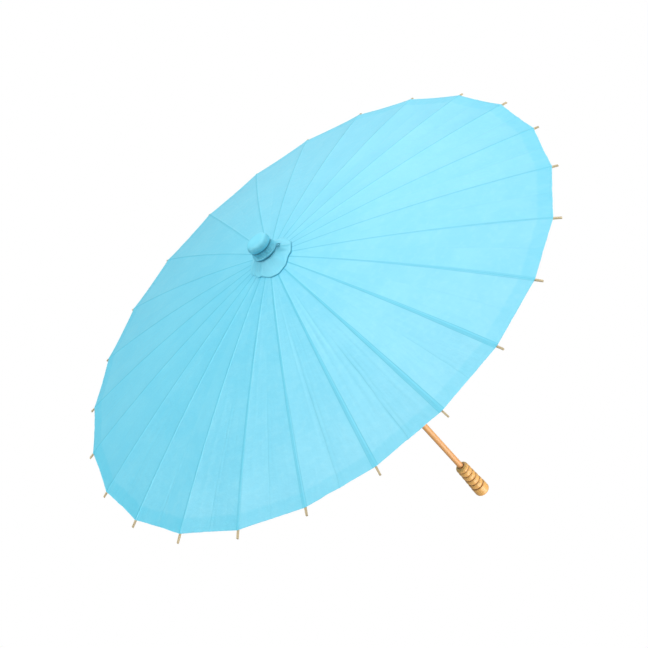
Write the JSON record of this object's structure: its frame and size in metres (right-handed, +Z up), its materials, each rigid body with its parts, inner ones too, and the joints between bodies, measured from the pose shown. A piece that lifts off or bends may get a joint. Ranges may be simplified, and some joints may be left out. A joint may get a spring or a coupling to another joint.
{
  "type": "oil paper umbrella",
  "caption": "Folding paper parasol: polygonal canopy on slim bamboo ribs and stretchers, tied paper cap, wooden shaft and turned, beaded handle.",
  "frame": {"origin": "middle of the handle's flat end face, on the shaft's axis", "axes": "+Z up the shaft from the handle to the cap; +X along rib_01, on the latch's side; the other ribs follow every 15 degrees towards +Y"},
  "size_m": [0.8286, 0.8289, 0.6463],
  "materials": {
    "paper": "oiled, satin, slightly translucent sky blue",
    "bamboo": "split bamboo, fine fibres, matt",
    "turned_wood": "turned, thin clear varnish",
    "hub_wood": "turned, unvarnished",
    "thread": "waxed thread, dark blue",
    "wire": "drawn wire"
  },
  "bodies": {
    "frame": {"shaft": "turned_wood", "handle": "turned_wood", "top_hub": "hub_wood", "hub_ring": "wire", "latch_pin": "wire", "stop_pin": "bamboo", "canopy": "paper", "crown_cap": "paper", "cap_tie": "thread"},
    "rib_01": {"rib_01": "bamboo"},
    "rib_02": {"rib_02": "bamboo"},
    "rib_03": {"rib_03": "bamboo"},
    "rib_04": {"rib_04": "bamboo"},
    "rib_05": {"rib_05": "bamboo"},
    "rib_06": {"rib_06": "bamboo"},
    "rib_07": {"rib_07": "bamboo"},
    "rib_08": {"rib_08": "bamboo"},
    "rib_09": {"rib_09": "bamboo"},
    "rib_10": {"rib_10": "bamboo"},
    "rib_11": {"rib_11": "bamboo"},
    "rib_12": {"rib_12": "bamboo"},
    "rib_13": {"rib_13": "bamboo"},
    "rib_14": {"rib_14": "bamboo"},
    "rib_15": {"rib_15": "bamboo"},
    "rib_16": {"rib_16": "bamboo"},
    "rib_17": {"rib_17": "bamboo"},
    "rib_18": {"rib_18": "bamboo"},
    "rib_19": {"rib_19": "bamboo"},
    "rib_20": {"rib_20": "bamboo"},
    "rib_21": {"rib_21": "bamboo"},
    "rib_22": {"rib_22": "bamboo"},
    "rib_23": {"rib_23": "bamboo"},
    "rib_24": {"rib_24": "bamboo"},
    "stretcher_01": {"stretcher_01": "bamboo"},
    "stretcher_02": {"stretcher_02": "bamboo"},
    "stretcher_03": {"stretcher_03": "bamboo"},
    "stretcher_04": {"stretcher_04": "bamboo"},
    "stretcher_05": {"stretcher_05": "bamboo"},
    "stretcher_06": {"stretcher_06": "bamboo"},
    "stretcher_07": {"stretcher_07": "bamboo"},
    "stretcher_08": {"stretcher_08": "bamboo"},
    "stretcher_09": {"stretcher_09": "bamboo"},
    "stretcher_10": {"stretcher_10": "bamboo"},
    "stretcher_11": {"stretcher_11": "bamboo"},
    "stretcher_12": {"stretcher_12": "bamboo"},
    "stretcher_13": {"stretcher_13": "bamboo"},
    "stretcher_14": {"stretcher_14": "bamboo"},
    "stretcher_15": {"stretcher_15": "bamboo"},
    "stretcher_16": {"stretcher_16": "bamboo"},
    "stretcher_17": {"stretcher_17": "bamboo"},
    "stretcher_18": {"stretcher_18": "bamboo"},
    "stretcher_19": {"stretcher_19": "bamboo"},
    "stretcher_20": {"stretcher_20": "bamboo"},
    "stretcher_21": {"stretcher_21": "bamboo"},
    "stretcher_22": {"stretcher_22": "bamboo"},
    "stretcher_23": {"stretcher_23": "bamboo"},
    "stretcher_24": {"stretcher_24": "bamboo"},
    "runner": {"runner": "hub_wood", "runner_ring": "wire"},
    "latch": {"latch_spring": "bamboo"}
  },
  "joints": [
    {"name": "canopy_fold", "type": "hinge", "parent": "frame", "child": "rib_01", "pos_m": [0.013, 0, 0.6081], "axis": [0, 1, 0], "range_deg": [0, 75.5], "deforming": ["canopy", "latch_spring"]},
    {"name": "rib_pivot_02", "type": "hinge", "parent": "frame", "child": "rib_02", "pos_m": [0.01256, 0.00336, 0.6081], "axis": [-0.2588, 0.9659, 0], "range_deg": [0, 75.5]},
    {"name": "rib_pivot_03", "type": "hinge", "parent": "frame", "child": "rib_03", "pos_m": [0.01126, 0.0065, 0.6081], "axis": [-0.5, 0.866, 0], "range_deg": [0, 75.5]},
    {"name": "rib_pivot_04", "type": "hinge", "parent": "frame", "child": "rib_04", "pos_m": [0.00919, 0.00919, 0.6081], "axis": [-0.7071, 0.7071, 0], "range_deg": [0, 75.5]},
    {"name": "rib_pivot_05", "type": "hinge", "parent": "frame", "child": "rib_05", "pos_m": [0.0065, 0.01126, 0.6081], "axis": [-0.866, 0.5, 0], "range_deg": [0, 75.5]},
    {"name": "rib_pivot_06", "type": "hinge", "parent": "frame", "child": "rib_06", "pos_m": [0.00336, 0.01256, 0.6081], "axis": [-0.9659, 0.2588, 0], "range_deg": [0, 75.5]},
    {"name": "rib_pivot_07", "type": "hinge", "parent": "frame", "child": "rib_07", "pos_m": [0, 0.013, 0.6081], "axis": [-1, 0, 0], "range_deg": [0, 75.5]},
    {"name": "rib_pivot_08", "type": "hinge", "parent": "frame", "child": "rib_08", "pos_m": [-0.00336, 0.01256, 0.6081], "axis": [-0.9659, -0.2588, 0], "range_deg": [0, 75.5]},
    {"name": "rib_pivot_09", "type": "hinge", "parent": "frame", "child": "rib_09", "pos_m": [-0.0065, 0.01126, 0.6081], "axis": [-0.866, -0.5, 0], "range_deg": [0, 75.5]},
    {"name": "rib_pivot_10", "type": "hinge", "parent": "frame", "child": "rib_10", "pos_m": [-0.00919, 0.00919, 0.6081], "axis": [-0.7071, -0.7071, 0], "range_deg": [0, 75.5]},
    {"name": "rib_pivot_11", "type": "hinge", "parent": "frame", "child": "rib_11", "pos_m": [-0.01126, 0.0065, 0.6081], "axis": [-0.5, -0.866, 0], "range_deg": [0, 75.5]},
    {"name": "rib_pivot_12", "type": "hinge", "parent": "frame", "child": "rib_12", "pos_m": [-0.01256, 0.00336, 0.6081], "axis": [-0.2588, -0.9659, 0], "range_deg": [0, 75.5]},
    {"name": "rib_pivot_13", "type": "hinge", "parent": "frame", "child": "rib_13", "pos_m": [-0.013, 0, 0.6081], "axis": [0, -1, 0], "range_deg": [0, 75.5]},
    {"name": "rib_pivot_14", "type": "hinge", "parent": "frame", "child": "rib_14", "pos_m": [-0.01256, -0.00336, 0.6081], "axis": [0.2588, -0.9659, 0], "range_deg": [0, 75.5]},
    {"name": "rib_pivot_15", "type": "hinge", "parent": "frame", "child": "rib_15", "pos_m": [-0.01126, -0.0065, 0.6081], "axis": [0.5, -0.866, 0], "range_deg": [0, 75.5]},
    {"name": "rib_pivot_16", "type": "hinge", "parent": "frame", "child": "rib_16", "pos_m": [-0.00919, -0.00919, 0.6081], "axis": [0.7071, -0.7071, 0], "range_deg": [0, 75.5]},
    {"name": "rib_pivot_17", "type": "hinge", "parent": "frame", "child": "rib_17", "pos_m": [-0.0065, -0.01126, 0.6081], "axis": [0.866, -0.5, 0], "range_deg": [0, 75.5]},
    {"name": "rib_pivot_18", "type": "hinge", "parent": "frame", "child": "rib_18", "pos_m": [-0.00336, -0.01256, 0.6081], "axis": [0.9659, -0.2588, 0], "range_deg": [0, 75.5]},
    {"name": "rib_pivot_19", "type": "hinge", "parent": "frame", "child": "rib_19", "pos_m": [0, -0.013, 0.6081], "axis": [1, 0, 0], "range_deg": [0, 75.5]},
    {"name": "rib_pivot_20", "type": "hinge", "parent": "frame", "child": "rib_20", "pos_m": [0.00336, -0.01256, 0.6081], "axis": [0.9659, 0.2588, 0], "range_deg": [0, 75.5]},
    {"name": "rib_pivot_21", "type": "hinge", "parent": "frame", "child": "rib_21", "pos_m": [0.0065, -0.01126, 0.6081], "axis": [0.866, 0.5, 0], "range_deg": [0, 75.5]},
    {"name": "rib_pivot_22", "type": "hinge", "parent": "frame", "child": "rib_22", "pos_m": [0.00919, -0.00919, 0.6081], "axis": [0.7071, 0.7071, 0], "range_deg": [0, 75.5]},
    {"name": "rib_pivot_23", "type": "hinge", "parent": "frame", "child": "rib_23", "pos_m": [0.01126, -0.0065, 0.6081], "axis": [0.5, 0.866, 0], "range_deg": [0, 75.5]},
    {"name": "rib_pivot_24", "type": "hinge", "parent": "frame", "child": "rib_24", "pos_m": [0.01256, -0.00336, 0.6081], "axis": [0.2588, 0.9659, 0], "range_deg": [0, 75.5]},
    {"name": "stretcher_joint_01", "type": "hinge", "parent": "rib_01", "child": "stretcher_01", "pos_m": [0.17, 0, 0.57932], "axis": [0, -1, 0], "range_deg": [0, 151]},
    {"name": "stretcher_joint_02", "type": "hinge", "parent": "rib_02", "child": "stretcher_02", "pos_m": [0.16421, 0.044, 0.57932], "axis": [0.2588, -0.9659, 0], "range_deg": [0, 151]},
    {"name": "stretcher_joint_03", "type": "hinge", "parent": "rib_03", "child": "stretcher_03", "pos_m": [0.14722, 0.085, 0.57932], "axis": [0.5, -0.866, 0], "range_deg": [0, 151]},
    {"name": "stretcher_joint_04", "type": "hinge", "parent": "rib_04", "child": "stretcher_04", "pos_m": [0.12021, 0.12021, 0.57932], "axis": [0.7071, -0.7071, 0], "range_deg": [0, 151]},
    {"name": "stretcher_joint_05", "type": "hinge", "parent": "rib_05", "child": "stretcher_05", "pos_m": [0.085, 0.14722, 0.57932], "axis": [0.866, -0.5, 0], "range_deg": [0, 151]},
    {"name": "stretcher_joint_06", "type": "hinge", "parent": "rib_06", "child": "stretcher_06", "pos_m": [0.044, 0.16421, 0.57932], "axis": [0.9659, -0.2588, 0], "range_deg": [0, 151]},
    {"name": "stretcher_joint_07", "type": "hinge", "parent": "rib_07", "child": "stretcher_07", "pos_m": [0, 0.17, 0.57932], "axis": [1, 0, 0], "range_deg": [0, 151]},
    {"name": "stretcher_joint_08", "type": "hinge", "parent": "rib_08", "child": "stretcher_08", "pos_m": [-0.044, 0.16421, 0.57932], "axis": [0.9659, 0.2588, 0], "range_deg": [0, 151]},
    {"name": "stretcher_joint_09", "type": "hinge", "parent": "rib_09", "child": "stretcher_09", "pos_m": [-0.085, 0.14722, 0.57932], "axis": [0.866, 0.5, 0], "range_deg": [0, 151]},
    {"name": "stretcher_joint_10", "type": "hinge", "parent": "rib_10", "child": "stretcher_10", "pos_m": [-0.12021, 0.12021, 0.57932], "axis": [0.7071, 0.7071, 0], "range_deg": [0, 151]},
    {"name": "stretcher_joint_11", "type": "hinge", "parent": "rib_11", "child": "stretcher_11", "pos_m": [-0.14722, 0.085, 0.57932], "axis": [0.5, 0.866, 0], "range_deg": [0, 151]},
    {"name": "stretcher_joint_12", "type": "hinge", "parent": "rib_12", "child": "stretcher_12", "pos_m": [-0.16421, 0.044, 0.57932], "axis": [0.2588, 0.9659, 0], "range_deg": [0, 151]},
    {"name": "stretcher_joint_13", "type": "hinge", "parent": "rib_13", "child": "stretcher_13", "pos_m": [-0.17, 0, 0.57932], "axis": [0, 1, 0], "range_deg": [0, 151]},
    {"name": "stretcher_joint_14", "type": "hinge", "parent": "rib_14", "child": "stretcher_14", "pos_m": [-0.16421, -0.044, 0.57932], "axis": [-0.2588, 0.9659, 0], "range_deg": [0, 151]},
    {"name": "stretcher_joint_15", "type": "hinge", "parent": "rib_15", "child": "stretcher_15", "pos_m": [-0.14722, -0.085, 0.57932], "axis": [-0.5, 0.866, 0], "range_deg": [0, 151]},
    {"name": "stretcher_joint_16", "type": "hinge", "parent": "rib_16", "child": "stretcher_16", "pos_m": [-0.12021, -0.12021, 0.57932], "axis": [-0.7071, 0.7071, 0], "range_deg": [0, 151]},
    {"name": "stretcher_joint_17", "type": "hinge", "parent": "rib_17", "child": "stretcher_17", "pos_m": [-0.085, -0.14722, 0.57932], "axis": [-0.866, 0.5, 0], "range_deg": [0, 151]},
    {"name": "stretcher_joint_18", "type": "hinge", "parent": "rib_18", "child": "stretcher_18", "pos_m": [-0.044, -0.16421, 0.57932], "axis": [-0.9659, 0.2588, 0], "range_deg": [0, 151]},
    {"name": "stretcher_joint_19", "type": "hinge", "parent": "rib_19", "child": "stretcher_19", "pos_m": [0, -0.17, 0.57932], "axis": [-1, 0, 0], "range_deg": [0, 151]},
    {"name": "stretcher_joint_20", "type": "hinge", "parent": "rib_20", "child": "stretcher_20", "pos_m": [0.044, -0.16421, 0.57932], "axis": [-0.9659, -0.2588, 0], "range_deg": [0, 151]},
    {"name": "stretcher_joint_21", "type": "hinge", "parent": "rib_21", "child": "stretcher_21", "pos_m": [0.085, -0.14722, 0.57932], "axis": [-0.866, -0.5, 0], "range_deg": [0, 151]},
    {"name": "stretcher_joint_22", "type": "hinge", "parent": "rib_22", "child": "stretcher_22", "pos_m": [0.12021, -0.12021, 0.57932], "axis": [-0.7071, -0.7071, 0], "range_deg": [0, 151]},
    {"name": "stretcher_joint_23", "type": "hinge", "parent": "rib_23", "child": "stretcher_23", "pos_m": [0.14722, -0.085, 0.57932], "axis": [-0.5, -0.866, 0], "range_deg": [0, 151]},
    {"name": "stretcher_joint_24", "type": "hinge", "parent": "rib_24", "child": "stretcher_24", "pos_m": [0.16421, -0.044, 0.57932], "axis": [-0.2588, -0.9659, 0], "range_deg": [0, 151]},
    {"name": "runner_pivot", "type": "hinge", "parent": "stretcher_01", "child": "runner", "pos_m": [0.013, 0, 0.55054], "axis": [0, 1, 0], "range_deg": [0, 75.5]},
    {"name": "latch_press", "type": "hinge", "parent": "frame", "child": "latch", "pos_m": [0.0008, 0, 0.46224], "axis": [0, -1, 0], "range_deg": [0, 4.5], "stiffness_Nm_per_rad": 0.05, "springref_deg": -5.73}
  ],
  "couplings": [
    {"joint": "rib_pivot_02", "follows": "canopy_fold", "ratio": 1},
    {"joint": "rib_pivot_03", "follows": "canopy_fold", "ratio": 1},
    {"joint": "rib_pivot_04", "follows": "canopy_fold", "ratio": 1},
    {"joint": "rib_pivot_05", "follows": "canopy_fold", "ratio": 1},
    {"joint": "rib_pivot_06", "follows": "canopy_fold", "ratio": 1},
    {"joint": "rib_pivot_07", "follows": "canopy_fold", "ratio": 1},
    {"joint": "rib_pivot_08", "follows": "canopy_fold", "ratio": 1},
    {"joint": "rib_pivot_09", "follows": "canopy_fold", "ratio": 1},
    {"joint": "rib_pivot_10", "follows": "canopy_fold", "ratio": 1},
    {"joint": "rib_pivot_11", "follows": "canopy_fold", "ratio": 1},
    {"joint": "rib_pivot_12", "follows": "canopy_fold", "ratio": 1},
    {"joint": "rib_pivot_13", "follows": "canopy_fold", "ratio": 1},
    {"joint": "rib_pivot_14", "follows": "canopy_fold", "ratio": 1},
    {"joint": "rib_pivot_15", "follows": "canopy_fold", "ratio": 1},
    {"joint": "rib_pivot_16", "follows": "canopy_fold", "ratio": 1},
    {"joint": "rib_pivot_17", "follows": "canopy_fold", "ratio": 1},
    {"joint": "rib_pivot_18", "follows": "canopy_fold", "ratio": 1},
    {"joint": "rib_pivot_19", "follows": "canopy_fold", "ratio": 1},
    {"joint": "rib_pivot_20", "follows": "canopy_fold", "ratio": 1},
    {"joint": "rib_pivot_21", "follows": "canopy_fold", "ratio": 1},
    {"joint": "rib_pivot_22", "follows": "canopy_fold", "ratio": 1},
    {"joint": "rib_pivot_23", "follows": "canopy_fold", "ratio": 1},
    {"joint": "rib_pivot_24", "follows": "canopy_fold", "ratio": 1},
    {"joint": "stretcher_joint_01", "follows": "canopy_fold", "ratio": 2},
    {"joint": "stretcher_joint_02", "follows": "canopy_fold", "ratio": 2},
    {"joint": "stretcher_joint_03", "follows": "canopy_fold", "ratio": 2},
    {"joint": "stretcher_joint_04", "follows": "canopy_fold", "ratio": 2},
    {"joint": "stretcher_joint_05", "follows": "canopy_fold", "ratio": 2},
    {"joint": "stretcher_joint_06", "follows": "canopy_fold", "ratio": 2},
    {"joint": "stretcher_joint_07", "follows": "canopy_fold", "ratio": 2},
    {"joint": "stretcher_joint_08", "follows": "canopy_fold", "ratio": 2},
    {"joint": "stretcher_joint_09", "follows": "canopy_fold", "ratio": 2},
    {"joint": "stretcher_joint_10", "follows": "canopy_fold", "ratio": 2},
    {"joint": "stretcher_joint_11", "follows": "canopy_fold", "ratio": 2},
    {"joint": "stretcher_joint_12", "follows": "canopy_fold", "ratio": 2},
    {"joint": "stretcher_joint_13", "follows": "canopy_fold", "ratio": 2},
    {"joint": "stretcher_joint_14", "follows": "canopy_fold", "ratio": 2},
    {"joint": "stretcher_joint_15", "follows": "canopy_fold", "ratio": 2},
    {"joint": "stretcher_joint_16", "follows": "canopy_fold", "ratio": 2},
    {"joint": "stretcher_joint_17", "follows": "canopy_fold", "ratio": 2},
    {"joint": "stretcher_joint_18", "follows": "canopy_fold", "ratio": 2},
    {"joint": "stretcher_joint_19", "follows": "canopy_fold", "ratio": 2},
    {"joint": "stretcher_joint_20", "follows": "canopy_fold", "ratio": 2},
    {"joint": "stretcher_joint_21", "follows": "canopy_fold", "ratio": 2},
    {"joint": "stretcher_joint_22", "follows": "canopy_fold", "ratio": 2},
    {"joint": "stretcher_joint_23", "follows": "canopy_fold", "ratio": 2},
    {"joint": "stretcher_joint_24", "follows": "canopy_fold", "ratio": 2},
    {"joint": "runner_pivot", "follows": "canopy_fold", "ratio": 1}
  ]
}
